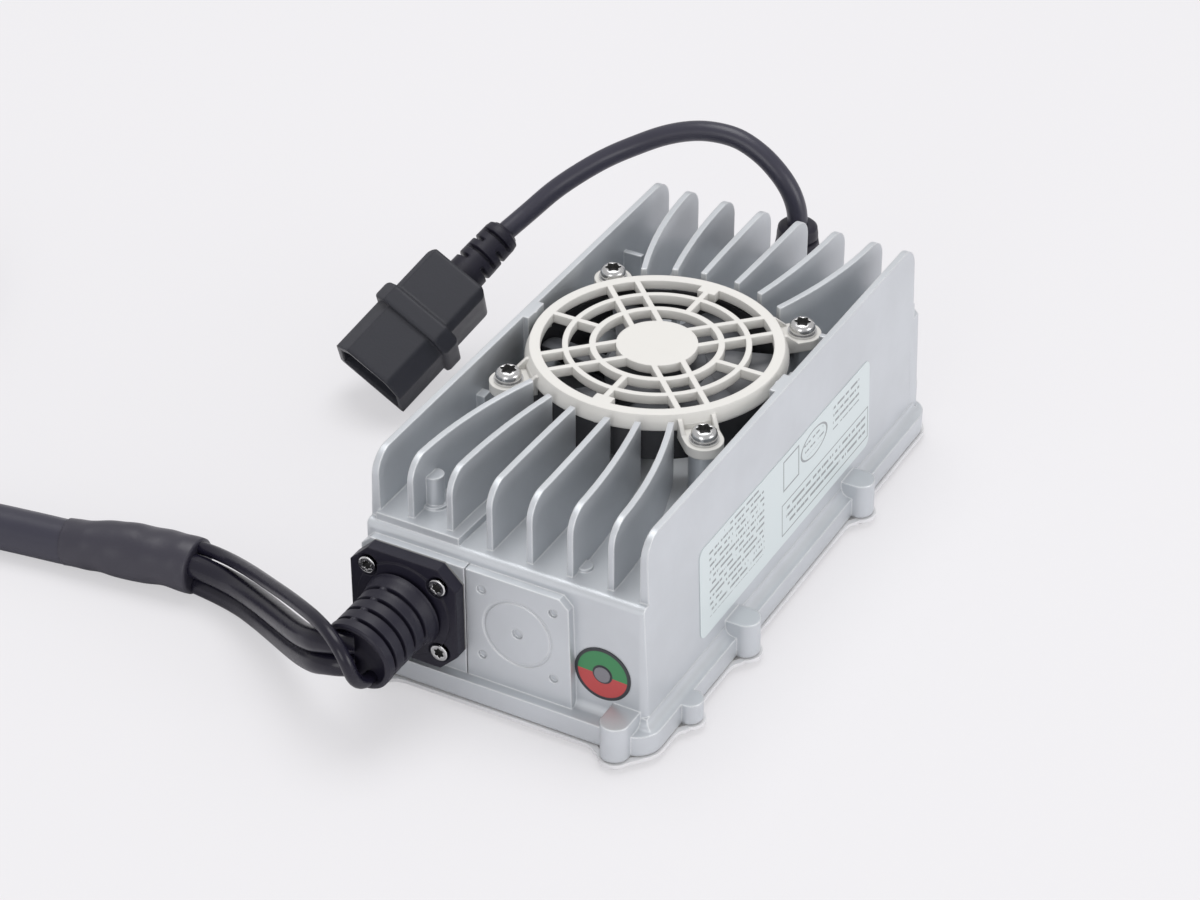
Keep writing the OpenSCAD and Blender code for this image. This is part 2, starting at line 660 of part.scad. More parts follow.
module input_lead() color([0.2, 0.2, 0.22]) tube(lead_route, lead_d / 2, [0, 1, 0]);
module core_positive() color([0.2, 0.2, 0.22]) tube(core_a, core_d / 2, [0, 0, 1], 8);
module core_negative() color([0.2, 0.2, 0.22]) tube(core_b, core_d / 2, [0, 0, 1], 8);
module core_sense() color([0.2, 0.2, 0.22]) tube(core_c, sense_d / 2, [1, 1, 1], 8);
module output_cable() color([0.22, 0.22, 0.24]) tube(cable_route, cable_d / 2, [0, 0, 1], 12);

// Shrunk sleeve over the place where the cores enter the sheath
module output_sleeve() {
    color([0.22, 0.22, 0.24]) tube([[-110.8, -89, 9.2], [-117, -89.4, 9.2], [-125, -90.4, 9.1],
        [-133, -91.8, 8.9], [-141, -93.4, 8.6], [-149, -94.8, 8], [-155, -95.9, 7.6]],
        [9, 9.1, 9, 8.8, 8.4, 7.9, 7.5], [0, 0, 1], 16);
}

// The rest of the cable, wound flat in two turns that lie side by side
module output_coil() {
    color([0.22, 0.22, 0.24]) translate([coil_at[0], coil_at[1], 0]) rotate_extrude($fn = 72)
        translate([coil_r0 - (coil_turns + 0.5) * cable_d, 0])
            square([(coil_turns + 1) * cable_d, cable_d]);
}

// Its last stretch climbs from the inner turn on to the top of the coil, and
// comes outwards over the turn before it once it is clear of it
function eased(g) = 3 * g * g - 2 * g * g * g;
function tail_point(f) =
    let (a = coil_start - tail_rise * f,
         r = coil_r0 - coil_turns * cable_d - 4 * f + 13.2 * eased(max(f - 0.4, 0) / 0.6))
    [coil_at[0] + r * cos(a), coil_at[1] + r * sin(a), cable_d / 2 + (cable_d + 1.2) * eased(f)];
tail_route = [for (i = [0:5]) tail_point(i / 5)];

module output_tail() color([0.22, 0.22, 0.24]) tube(tail_route, cable_d / 2, [0, 0, 1], 12);

connector_at = tail_point(1);
connector_turn = 90;

module at_connector() translate([connector_at[0], connector_at[1], cable_d])
    rotate([0, 0, connector_turn]) children();

module connector_housing() {
    color("gray") at_connector() difference() {
        union() {
            translate([0, -18, 0]) cube([30, 36, 16]);
            translate([30, -16, 1.5]) cube([18, 32, 13]);
        }
        for (s = [-1, 1]) translate([20, s * 8 - 5.5, 3.5]) cube([40, 11, 9]);
        for (s = [-1, 1]) translate([10, s * 14, -1]) cylinder(h = 20, r = 1.7, $fn = 32);
    }
}

module connector_contacts() {
    color("silver") at_connector() for (s = [-1, 1])
        translate([20, s * 8 - 3.6, 4.2]) cube([22, 7.2, 1.6]);
}

// Outline of the mains plug, w by h, with its two upper corners cut by c; the
// plug is drawn along +Y from its mouth
module plug_outline(w, h, c) {
    x = w / 2;
    z = h / 2;
    polygon([[-x + 1, -z], [x - 1, -z], [x, -z + 1], [x, z - c], [x - c, z],
        [-x + c, z], [-x, z - c], [-x, -z + 1]]);
}

module at_plug() translate(plug_at) rotate(plug_turn) children();

module plug_body() {
    color([0.2, 0.2, 0.22]) at_plug() difference() {
        union() {
            along_y(0, 21) plug_outline(28.4, 20, 5.5);
            // collar
            intersection() {
                along_y(20.6, 27.4) plug_outline(31.8, 22.4, 4.6);
                translate([0, 24, -12]) linear_extrude(24) round_rect(31.8, 6.8, 1.6);
            }
            // grip
            intersection() {
                along_y(27, 45.6) plug_outline(24.8, 20.4, 2.2);
                translate([0, 33.6, -12]) linear_extrude(24) round_rect(24.8, 24, 3);
            }
        }
        along_y(-1, 17) plug_outline(24.6, 16.4, 4.6);
    }
}

module plug_pins() {
    color("silver") at_plug() for (p = [[-7, -2], [7, -2], [0, 2]])
        translate([p[0] - 1, 3, p[1] - 2]) cube([2, 14, 4]);
}

module plug_boot() {
    color([0.18, 0.18, 0.2]) at_plug() rotate([-90, 0, 0]) {
        translate([0, 0, 45.6]) cylinder(h = 22, r1 = 5.6, r2 = 4.6, $fn = 40);
        translate([0, 0, 45.6]) cylinder(h = 5.4, r = 6.6, $fn = 40);
        for (i = [0:3]) translate([0, 0, 52.2 + 4 * i])
            cylinder(h = i == 3 ? 3.4 : 2.8, r = 6.5 - 0.12 * i, $fn = 40);
    }
}

module led_label() {
    color("black") translate([32.8, -body_y, 24.9]) rotate([90, 0, 0]) cylinder(h = 0.3, r = 9.1);
}

module led_lens() {
    color("gray") translate([32.8, -body_y - 0.3, 24.9]) rotate([90, 0, 0])
        cylinder(h = 0.3, r = 2.6, $fn = 40);
}

module rating_label() {
    color("white") intersection() {
        along_y(-59, 57.8) polygon([[side_x(18.5), 18.5], [side_x(18.5) + 0.25, 18.5],
            [side_x(50.5) + 0.25, 50.5], [side_x(50.5), 50.5]]);
        translate([0, -0.6, 34.5]) along_x(30, 60) round_rect(116.8, 32, 3);
    }
}

board_z = 8.2;
spacer_at = [for (x = [-1, 1], y = [-1, 1]) [36 * x, 80 * y]];

module circuit_board() {
    color("darkgreen") translate([0, 0, board_z]) difference() {
        linear_extrude(1.6) square([82, 170], center = true);
        for (p = spacer_at) translate([p[0], p[1], -1]) cylinder(h = 4, r = 1.7, $fn = 32);
    }
}

module board_spacers() {
    color("silver") for (p = spacer_at) translate([p[0], p[1], gasket_z]) difference() {
        cylinder(h = board_z - gasket_z, r = 3.2, $fn = 6);
        translate([0, 0, 1]) cylinder(h = 10, r = 1.55, $fn = 32);
    }
}

module board_screws() {
    color("silver") for (p = spacer_at) translate([p[0], p[1], board_z + 1.6])
        pan_screw(2.9, 2, 1.5, 5);
}

// Upright daughter board with its row of chips
module control_board() {
    color("darkgreen") {
        translate([20, -76, board_z + 1.6]) cube([1.6, 44, 26]);
        for (i = [0:3]) translate([21.6, -72 + 10 * i, board_z + 8]) cube([1.6, 7, 10]);
    }
}

// Power transformer: two E-shaped ferrite halves round one winding
module transformer_core() {
    color("dimgray") translate([4, 14, board_z + 1.6]) difference() {
        translate([-20, -16, 2]) cube([40, 32, 32]);
        for (s = [-1, 1]) translate([s * 11.5 - 4.5, -20, 8]) cube([9, 40, 20]);
    }
}

module transformer_winding() {
    color("orange") translate([4, 14, board_z + 1.6]) {
        difference() {
            translate([-15.6, -20, 8.4]) cube([31.2, 40, 19.2]);
            translate([-7.2, -16.2, 0]) cube([14.4, 32.4, 40]);
        }
        for (x = [-10, 10], y = [-18, 18]) translate([x, y, 0]) cylinder(h = 9, r = 0.8, $fn = 16);
    }
}

module pfc_inductor() {
    color("peru") translate([-2, 57, board_z + 1.6]) rotate_extrude()
        translate([6.4, 1]) round_rect_at(8.6, 17, 3);
}

// Rounded rectangle whose lower left corner is the origin
module round_rect_at(w, l, r) translate([w / 2, l / 2]) round_rect(w, l, r);

module filter_choke() {
    color("peru") translate([27.6, 64, board_z + 16]) rotate([90, 0, 0]) rotate_extrude()
        translate([5, -5]) round_rect_at(8, 10, 3);
}

module bulk_capacitors() {
    color("navy") for (p = [[-29.5, 52], [29.6, 44]]) translate([p[0], p[1], board_z + 1.6]) difference() {
        cylinder(h = 35, r = 11);
        translate([0, 0, 33]) rotate_extrude() translate([11, 0]) circle(0.9, $fn = 16);
    }
}

module output_capacitors() {
    color("navy") for (i = [0:3]) translate([-32 + 15 * i, -64, board_z + 1.6])
        cylinder(h = 25, r = 6.4);
}

// Row of power transistors held against the left wall by one spring bar
module power_transistors() {
    color("black") for (i = [0:4]) translate([-40.6, -46 + 17 * i, board_z + 1.6]) {
        translate([0, 0, 6]) cube([4.8, 15.6, 20.6]);
        for (k = [-5.4, 0, 5.4]) translate([1.6, 7.3 + k, 0]) cube([0.6, 1.2, 6.4]);
    }
}

module insulator_pad() {
    color("pink") translate([-41.6, -48, board_z + 6]) cube([1, 88, 24]);
}

module transistor_clamp() {
    color("silver") translate([-35.8, -46, board_z + 14]) cube([1.2, 83.6, 8]);
}

module fuse() {
    color("tan") translate([30, 78, board_z + 5]) rotate([0, -90, 0]) cylinder(h = 20, r = 2.6, $fn = 32);
}

module relay() {
    color("black") translate([-31, 67, board_z + 1.6]) cube([14, 17, 15]);
}

housing();
base_plate();
base_gasket();
base_screws();
fan_guard();
guard_screws();
guard_washers();
fan_frame();
fan_stator();
fan_bearings();
fan_impeller();
fan_shaft();
fan_screws();
output_flange();
output_gasket();
output_flange_screws();
output_boot();
core_positive();
core_negative();
core_sense();
output_sleeve();
output_cable();
output_coil();
output_tail();
connector_housing();
connector_contacts();
input_flange();
input_gasket();
input_flange_screws();
input_boot();
input_lead();
plug_body();
plug_boot();
plug_pins();
led_label();
led_lens();
rating_label();
circuit_board();
board_spacers();
board_screws();
control_board();
transformer_core();
transformer_winding();
pfc_inductor();
filter_choke();
bulk_capacitors();
output_capacitors();
power_transistors();
transistor_clamp();
insulator_pad();
fuse();
relay();
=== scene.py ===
import math

import bmesh
import bpy
from mathutils import Matrix, Vector


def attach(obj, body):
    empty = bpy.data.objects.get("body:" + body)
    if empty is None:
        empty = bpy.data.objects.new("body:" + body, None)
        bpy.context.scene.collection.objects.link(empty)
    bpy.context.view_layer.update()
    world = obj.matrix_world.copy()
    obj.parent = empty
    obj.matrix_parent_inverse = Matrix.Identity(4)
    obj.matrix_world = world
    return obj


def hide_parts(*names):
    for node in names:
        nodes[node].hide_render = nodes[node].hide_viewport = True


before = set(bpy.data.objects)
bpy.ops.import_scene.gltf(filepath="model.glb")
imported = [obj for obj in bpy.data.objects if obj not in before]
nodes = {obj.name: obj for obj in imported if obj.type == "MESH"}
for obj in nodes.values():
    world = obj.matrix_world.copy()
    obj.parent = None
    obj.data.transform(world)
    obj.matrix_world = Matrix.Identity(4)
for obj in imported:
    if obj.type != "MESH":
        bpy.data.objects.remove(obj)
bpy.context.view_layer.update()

scene = bpy.context.scene

# Routes, profiles, seats and the places of prints are given in millimetres, and every
# other length in metres.

# The view: a long lens looks down past the front right corner from about 35 degrees,
# with the charger standing near the middle and its output cable leaving at the left.
eye = Vector((0.3922, -0.7538, 0.6285))
aim = Vector((-0.0113, -0.0138, 0.0401))
lens = bpy.data.cameras.new("product_view")
lens.lens = 100.55
lens.sensor_width = 36
lens.clip_end = 20
camera = bpy.data.objects.new("product_view", lens)
camera.matrix_world = (
    Matrix.Translation(eye) @ (aim - eye).to_track_quat("-Z", "Y").to_matrix().to_4x4()
)
scene.collection.objects.link(camera)
scene.camera = camera
scene.view_settings.view_transform = "Standard"


class Tone:
    """A number that varies over a surface: arithmetic on it adds Math nodes."""

    def __init__(self, tree, socket):
        self.tree, self.socket = tree, socket

    def math(self, operation, a, b=0.0):
        node = self.tree.nodes.new("ShaderNodeMath")
        node.operation = operation
        for place, value in zip(node.inputs, (a, b)):
            if isinstance(value, Tone):
                self.tree.links.new(value.socket, place)
            else:
                place.default_value = value
        return Tone(self.tree, node.outputs[0])

    def __add__(self, other):
        return self.math("ADD", self, other)

    def __sub__(self, other):
        return self.math("SUBTRACT", self, other)

    def __rsub__(self, other):
        return self.math("SUBTRACT", other, self)

    def __mul__(self, other):
        return self.math("MULTIPLY", self, other)

    def __truediv__(self, other):
        return self.math("DIVIDE", self, other)

    def __pow__(self, other):
        return self.math("POWER", self, other)

    def __gt__(self, other):
        return self.math("GREATER_THAN", self, other)

    def __lt__(self, other):
        return self.math("LESS_THAN", self, other)

    def __mod__(self, other):
        return self.math("FLOORED_MODULO", self, other)

    def wave(self):
        return self.math("SINE", self)

    def between(self, low, high):
        return (self > low) * (self < high)

    def ease(self, low, high):
        node = self.tree.nodes.new("ShaderNodeMapRange")
        node.interpolation_type = "SMOOTHSTEP"
        self.tree.links.new(self.socket, node.inputs["Value"])
        node.inputs["From Min"].default_value = low
        node.inputs["From Max"].default_value = high
        return Tone(self.tree, node.outputs[0])


class Finish:
    """One finish of the charger: a material whose shader sockets are set by name, and
    whose edges are shaded as if they were rounded to the radius `edge`, in metres."""

    def __init__(self, name, colour, roughness, metallic=0.0, edge=0.0, **constants):
        self.edge = edge
        self.material = bpy.data.materials.new(name)
        self.material.use_nodes = True
        self.tree = self.material.node_tree
        self.shader = self.tree.nodes["Principled BSDF"]
        self.shader.inputs["Base Color"].default_value = (*colour, 1)
        self.shader.inputs["Roughness"].default_value = roughness
        self.shader.inputs["Metallic"].default_value = metallic
        for key, value in constants.items():
            self.shader.inputs[key.replace("_", " ")].default_value = value
        if edge:
            self.feed("Normal", self.rounded())

    def node(self, kind, settings=(), sockets=(), out=0):
        made = self.tree.nodes.new("ShaderNode" + kind)
        for key, value in dict(settings).items():
            setattr(made, key, value)
        for key, value in dict(sockets).items():
            if isinstance(value, Tone):
                self.tree.links.new(value.socket, made.inputs[key])
            else:
                made.inputs[key].default_value = value
        return Tone(self.tree, made.outputs[out])

    def place(self):
        return self.node("TexCoord", out="Object")

    def axes(self):
        split = self.node("SeparateXYZ", sockets={0: self.place()})
        return [Tone(self.tree, socket) for socket in split.socket.node.outputs]

    def noise(self, scale, detail=2.0, rough=0.5, at=None):
        sockets = {"Vector": at or self.place(), "Scale": scale, "Detail": detail, "Roughness": rough}
        return self.node("TexNoise", sockets=sockets)

    def blend(self, factor, a, b):
        """Colours a and b mixed: sockets 6 and 7 of a Mix node are its colours, and 2 is
        the mixed one."""
        sides = [side if isinstance(side, Tone) else (*side, 1) for side in (a, b)]
        return self.node("Mix", {"data_type": "RGBA"}, {0: factor, 6: sides[0], 7: sides[1]}, 2)

    def feed(self, socket, tone):
        self.tree.links.new(tone.socket, self.shader.inputs[socket])

    def rounded(self):
        return self.node("Bevel", {"samples": 6}, {"Radius": self.edge})

    def highlit_edges(self):
        """The mask of a painted edge highlight: 1 along the edges that the Bevel node rounds, and 0 on the
        flats between.
        """
        flat = self.node("NewGeometry", out="Normal")
        facing = self.node("VectorMath", {"operation": "DOT_PRODUCT"}, {0: self.rounded(), 1: flat}, "Value")
        return 1 - facing.ease(0.90, 0.99)

    def relief(self, height, distance):
        sockets = {"Height": height, "Distance": distance, "Strength": 1.0}
        if self.edge:
            sockets["Normal"] = self.rounded()
        self.feed("Normal", self.node("Bump", sockets=sockets))


# The floor and the light of a product shot: a pale sweep, which glows a little to the
# camera and runs out of view on all sides, a broad lamp above the rear left, and weaker
# ones at the right and in front.
sweep = Finish("pale_sweep", (0.80, 0.79, 0.81), 0.9, Specular_IOR_Level=0.1)
glow = sweep.tree.nodes.new("ShaderNodeEmission")
glow.inputs["Color"].default_value = (0.835, 0.827, 0.847, 1)
seen = sweep.tree.nodes.new("ShaderNodeLightPath")
glow_share = 0.62
share = Tone(sweep.tree, seen.outputs["Is Camera Ray"]) * glow_share
mixed = sweep.tree.nodes.new("ShaderNodeMixShader")
sweep.tree.links.new(share.socket, mixed.inputs[0])
sweep.tree.links.new(sweep.shader.outputs[0], mixed.inputs[1])
sweep.tree.links.new(glow.outputs[0], mixed.inputs[2])
sweep.tree.links.new(mixed.outputs[0], sweep.tree.nodes["Material Output"].inputs["Surface"])
ground = bpy.data.meshes.new("floor")
half_floor = 6
corners = [(half_floor * x, half_floor * y, 0) for x, y in ((-1, -1), (1, -1), (1, 1), (-1, 1))]
ground.from_pydata(corners, [], [(0, 1, 2, 3)])
ground.materials.append(sweep.material)
floor = bpy.data.objects.new("floor", ground)
scene.collection.objects.link(floor)

sky = bpy.data.worlds.new("studio")
sky.use_nodes = True
scene.world = sky
dome = sky.node_tree.nodes["Background"]
dome.inputs["Color"].default_value = (1.0, 0.99, 1.0, 1)
dome.inputs["Strength"].default_value = 0.66


def lamp(name, at, towards, size, power):
    light = bpy.data.lights.new(name, "AREA")
    light.shape = "DISK"
    light.size = size
    light.energy = power
    holder = bpy.data.objects.new(name, light)
    at = Vector(at)
    holder.matrix_world = (
        Matrix.Translation(at) @ (Vector(towards) - at).to_track_quat("-Z", "Y").to_matrix().to_4x4()
    )
    scene.collection.objects.link(holder)


lamp("overhead_softbox", (-0.2, 0.3, 1.7), (0, 0, 0), 1.3, 15)
lamp("side_softbox", (1.5, 0.0, 0.5), (0, 0, 0.03), 0.9, 7)
lamp("front_softbox", (0.1, -1.6, 0.6), (0, 0, 0.03), 0.9, 5)

# The case: one aluminium die casting with curved cooling fins, shot-blasted to a fine
# even grain. Its edges are slightly rounded, and a painted highlight lightens them.
gentle_degrees, one_flat, weld = 34, 0.99995, 1e-6


def softened(node, finish, body="charger"):
    """A copy of a CAD node, shaded smooth across its gentle edges. Each corner's normal
    counts a whole flat by its area, so that flats stay flat up to their borders."""
    shape = bmesh.new()
    shape.from_mesh(nodes[node].data)
    bmesh.ops.remove_doubles(shape, verts=shape.verts, dist=weld)
    flats = {}
    for first in shape.faces:
        if first in flats:
            continue
        flats[first] = flat = [first]
        for face in flat:
            for other in [f for edge in face.edges for f in edge.link_faces]:
                if other not in flats and first.normal.dot(other.normal) > one_flat:
                    flats[other] = flat
                    flat.append(other)
    weight = {}
    for face, flat in flats.items():
        if face is flat[0]:
            area = sum(f.calc_area() for f in flat)
            weight.update((f, area) for f in flat)
    limit = math.cos(math.radians(gentle_degrees))
    normals = []
    for face in shape.faces:
        face.smooth = True
        for corner in face.loops:
            mean = Vector()
            for beside in corner.vert.link_loops:
                if beside.face.normal.dot(face.normal) > limit:
                    mean += beside.face.normal * (weight[beside.face] * beside.calc_angle())
            normals.append(mean.normalized() if mean.length > 0 else face.normal.copy())
    copy = bpy.data.meshes.new(node + "_copy")
    shape.to_mesh(copy)
    shape.free()
    copy.normals_split_custom_set(normals)
    blank = bpy.data.objects.new(node + "_copy", copy)
    scene.collection.objects.link(blank)
    return finished(blank, node + "_piece", finish, body, [node])


def finished(blank, name, finish, body, stands_for):
    """A piece made from the evaluated mesh of a blank, in place of some CAD nodes."""
    baked = bpy.data.meshes.new_from_object(
        blank.evaluated_get(bpy.context.evaluated_depsgraph_get())
    )
    bpy.data.objects.remove(blank)
    piece = bpy.data.objects.new(name, baked)
    scene.collection.objects.link(piece)
    if finish:
        baked.materials.clear()
        baked.materials.append(finish.material)
    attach(piece, body)
    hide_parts(*stands_for)
    return piece


def blasted(name, colour, roughness, metallic, grain=2600.0, depth=0.00003, edge=0.0, **constants):
    """A blasted metal: a fine grain, broad patches a little darker, and a painted highlight along its
    rounded edges.
    """
    finish = Finish(name, colour, roughness, metallic, edge, **constants)
    fine = finish.noise(grain, 3, 0.6)
    broad = finish.noise(38, 4, 0.55)
    patch = [c * 0.93 for c in colour]
    # The first two are the colour and strength of a painted highlight along the rounded edges, convex and
    # concave alike.
    edge_highlight_colour, edge_highlight_share, uneven = (0.92, 0.93, 0.94), 0.6, 0.08
    skin = finish.blend(broad.ease(0.3, 0.7), patch, colour)
    # Painted highlight: where edges are rounded, the colour is lightened along them.
    if edge:
        skin = finish.blend(finish.highlit_edges() * edge_highlight_share, skin, edge_highlight_colour)
    finish.feed("Base Color", skin)
    finish.feed("Roughness", broad * uneven + fine * uneven + (roughness - uneven))
    finish.relief(fine, depth)
    return finish


cast_silver = blasted("cast_silver", (0.575, 0.60, 0.628), 0.46, 0.55, edge=0.0008,
                      Coat_Weight=0.25, Coat_Roughness=0.22)
softened("housing", cast_silver)

# The base: a sheet of plain aluminium cut a little larger than the casting, with a thin
# grey gasket above it, held from below by eight pan-head screws on which it stands.
sheet_silver = blasted("sheet_silver", (0.78, 0.78, 0.79), 0.42, 0.25, 1400.0, 0.00001, 0.0002)
softened("base_plate", sheet_silver)


def dress(node, finish):
    """A CAD node kept as it is, with this finish on it."""
    part = nodes[node]
    part.data.materials.clear()
    part.data.materials.append(finish.material)


seal_grey = Finish("seal_grey", (0.20, 0.20, 0.20), 0.7)
seal_grey.relief(seal_grey.noise(900, 3), 0.00005)
for gasket in ("base_gasket", "output_gasket", "input_gasket"):
    dress(gasket, seal_grey)

# The screws: bright zinc-plated steel with six-lobed drives. The guard's and the base's
# are pan heads, the cable entries' are countersunk flush with their black flanges.
zinc = Finish("bright_zinc", (0.60, 0.60, 0.60), 0.24, 1.0)
plating = zinc.noise(420, 3)
zinc.feed("Roughness", plating * 0.18 + 0.16)
zinc.relief(plating, 0.00002)
# The inside of each drive is painted near black: painted shade, where the recess lies in shadow.
recess_painted_shade = Finish("drive_recess_painted_shade", (0.012, 0.012, 0.012), 0.7)
pan = [(0.97, 0), (1, 0.12), (1, 0.45), (0.94, 0.72), (0.78, 0.89)]
flush = [(0.5, 0), (1, 0.8), (1, 0.92), (0.97, 0.98), (0.8, 1)]


def between_rings(steps, around):
    """Four-sided faces from each ring of points to the next one."""
    return [
        (k * around + i, k * around + (i + 1) % around,
         (k + 1) * around + (i + 1) % around, (k + 1) * around + i)
        for k in range(steps) for i in range(around)
    ]


def lobed_head(profile, radius, height, recess_r, recess_d):
    """A screw head up from the origin; its profile is in shares of radius and height.
    Each ring is a radius, a height and whether it follows the drive's six lobes."""
    around, lobe_count, lobe_depth = 48, 6, 0.17
    lobes = [1 + lobe_depth * math.cos(lobe_count * 2 * math.pi * i / around) for i in range(around)]
    rings = [(radius * r, height * z, 0) for r, z in profile]
    rings += [
        (recess_r * 1.22, height, 0), (recess_r * 1.06, height * 0.985, 1),
        (recess_r, height * 0.94, 1), (recess_r * 0.94, height - recess_d, 1),
        (recess_r * 0.3, height - recess_d * 1.12, 0),
    ]
    verts = [
        (r * (lobes[i] if lobed else 1) * math.cos(2 * math.pi * i / around),
         r * (lobes[i] if lobed else 1) * math.sin(2 * math.pi * i / around), z)
        for r, z, lobed in rings for i in range(around)
    ]
    faces = between_rings(len(rings) - 1, around)
    recess, last = (len(profile) + 1) * around, (len(rings) - 1) * around
    faces += [tuple(reversed(range(around))), tuple(last + i for i in range(around))]
    mesh = bpy.data.meshes.new("screw_head")
    mesh.from_pydata(verts, [], faces)
    for polygon in mesh.polygons[:-2]:
        polygon.use_smooth = True
    # The faces inside the drive are marked, so that the painted shade of the recess can be put on them.
    inside = [recess <= k < last or k == len(faces) - 1 for k in range(len(faces))]
    mesh.attributes.new("inside_drive", "BOOLEAN", "FACE").data.foreach_set("value", inside)
    return bpy.data.objects.new("screw_head", mesh)


def scatter_tree(name):
    """A node tree that sets a shape on every seat, aimed along the seat's axis."""
    tree = bpy.data.node_groups.new(name, "GeometryNodeTree")
    sockets = [
        ("Seats", "INPUT", "NodeSocketGeometry"), ("Shape", "INPUT", "NodeSocketObject"),
        ("Result", "OUTPUT", "NodeSocketGeometry"),
    ]
    for label, way, kind in sockets:
        tree.interface.new_socket(label, in_out=way, socket_type=kind)
    inlet, outlet = tree.nodes.new("NodeGroupInput"), tree.nodes.new("NodeGroupOutput")
    shape = tree.nodes.new("GeometryNodeObjectInfo")
    aim_at = tree.nodes.new("GeometryNodeInputNamedAttribute")
    aim_at.data_type = "FLOAT_VECTOR"
    aim_at.inputs["Name"].default_value = "axis"
    spin = tree.nodes.new("GeometryNodeInputNamedAttribute")
    spin.data_type = "FLOAT"
    spin.inputs["Name"].default_value = "spin"
    align = tree.nodes.new("FunctionNodeAlignRotationToVector")
    align.axis = "Z"
    turn = tree.nodes.new("FunctionNodeAxisAngleToRotation")
    turn.inputs["Axis"].default_value = (0, 0, 1)
    both = tree.nodes.new("FunctionNodeRotateRotation")
    both.rotation_space = "LOCAL"
    place = tree.nodes.new("GeometryNodeInstanceOnPoints")
    solid = tree.nodes.new("GeometryNodeRealizeInstances")
    plated = tree.nodes.new("GeometryNodeSetMaterial")
    plated.inputs["Material"].default_value = zinc.material
    # The faces inside the drives get the painted shade of the recess instead of the zinc.
    inside = tree.nodes.new("GeometryNodeInputNamedAttribute")
    inside.data_type = "BOOLEAN"
    inside.inputs["Name"].default_value = "inside_drive"
    recess_shade_setter = tree.nodes.new("GeometryNodeSetMaterial")
    recess_shade_setter.inputs["Material"].default_value = recess_painted_shade.material
    links = [
        (inlet.outputs["Seats"], place.inputs["Points"]),
        (inlet.outputs["Shape"], shape.inputs["Object"]),
        (shape.outputs["Geometry"], place.inputs["Instance"]),
        (aim_at.outputs["Attribute"], align.inputs["Vector"]),
        (spin.outputs["Attribute"], turn.inputs["Angle"]),
        (align.outputs["Rotation"], both.inputs["Rotation"]),
        (turn.outputs["Rotation"], both.inputs["Rotate By"]),
        (both.outputs["Rotation"], place.inputs["Rotation"]),
        (place.outputs["Instances"], solid.inputs["Geometry"]),
        (solid.outputs["Geometry"], plated.inputs["Geometry"]),
        (plated.outputs["Geometry"], recess_shade_setter.inputs["Geometry"]),
        (inside.outputs["Attribute"], recess_shade_setter.inputs["Selection"]),
        (recess_shade_setter.outputs["Geometry"], outlet.inputs["Result"]),
    ]
    for a, b in links:
        tree.links.new(a, b)
    return tree


def scatter(name, seats, axis, shape, tree, stands_for):
    """One piece with a copy of the shape on every seat, each turned differently."""
    mesh = bpy.data.meshes.new(name + "_seats")
    mesh.from_pydata([Vector(s) / 1000 for s in seats], [], [])
    mesh.attributes.new("axis", "FLOAT_VECTOR", "POINT").data.foreach_set(
        "vector", [c for s in seats for c in axis]
    )
    mesh.attributes.new("spin", "FLOAT", "POINT").data.foreach_set(
        "value", [0.37 * i * i + 0.2 for i in range(len(seats))]
    )
    holder = bpy.data.objects.new(name + "_seats", mesh)
    scene.collection.objects.link(holder)
    scene.collection.objects.link(shape)
    maker = holder.modifiers.new("maker", "NODES")
    maker.node_group = tree
    keys = {item.name: item.identifier for item in tree.interface.items_tree}
    maker[keys["Shape"]] = shape
    piece = finished(holder, name, None, "charger", stands_for)
    bpy.data.objects.remove(shape)
    return piece


screw_tree = scatter_tree("screws_on_seats")
fan_y, guard_half, washer_top, plate_bottom = 1.6, 33, 70.2, 2
ears = [(guard_half * x, fan_y + guard_half * y, washer_top) for x in (-1, 1) for y in (-1, 1)]
end_x, end_y, side_x, side_ys = 40.6, 100, 51.7, (-38.4, 42.6)
feet = [(end_x * x, end_y * y, plate_bottom) for x in (-1, 1) for y in (-1, 1)]
feet += [(side_x * x, y, plate_bottom) for x in (-1, 1) for y in side_ys]
scatter("guard_screw_heads", ears, (0, 0, 1), lobed_head(pan, 0.004, 0.0032, 0.0021, 0.0016),
        screw_tree, ["guard_screws"])
scatter("base_screw_heads", feet, (0, 0, -1), lobed_head(pan, 0.0038, 0.002, 0.0018, 0.0011),
        screw_tree, ["base_screws"])
dress("guard_washers", zinc)

# The guard: one warm white plastic moulding of rings and bars with four screw ears,
# pressed over the fan by the screws. The outside of its rim is drafted.
warm_white = Finish("warm_white_plastic", (0.70, 0.69, 0.66), 0.42, edge=0.0006)
mould = warm_white.noise(60, 3)
warm_white.feed("Base Color", warm_white.blend(mould, (0.71, 0.70, 0.67), (0.67, 0.66, 0.63)))
warm_white.feed("Roughness", mould * 0.12 + 0.36)
warm_white.relief(warm_white.noise(1500, 2), 0.00002)
softened("fan_guard", warm_white)

# The fan: a black plastic ring on four legs round a dark grey impeller of seven blades.
# Its steel shaft turns in bronze bearings inside the wound stator.
fan_black = Finish("fan_black", (0.030, 0.030, 0.034), 0.42, edge=0.0004)
fan_black.relief(fan_black.noise(700, 3), 0.00003)
fan_black.feed("Roughness", fan_black.noise(90, 3) * 0.2 + 0.32)
softened("fan_frame", fan_black)
blade_grey = Finish("blade_grey", (0.115, 0.12, 0.132), 0.36, edge=0.0004)
blade_grey.relief(blade_grey.noise(700, 3), 0.00003)
softened("fan_impeller", blade_grey, body="fan_rotor")
copper = Finish("enamelled_copper", (0.55, 0.24, 0.10), 0.3, 0.9)
turns = copper.node("TexWave", {"wave_type": "BANDS", "bands_direction": "Z"},
                    {"Vector": copper.place(), "Scale": 600.0, "Distortion": 0.4})
copper.relief(turns, 0.0002)
bronze = blasted("sintered_bronze", (0.55, 0.40, 0.20), 0.4, 0.9)
steel = blasted("ground_steel", (0.6, 0.6, 0.61), 0.28, 1.0, 900.0, 0.00001)
dress("fan_stator", copper)
dress("fan_bearings", bronze)
dress("fan_shaft", steel)
dress("fan_screws", zinc)

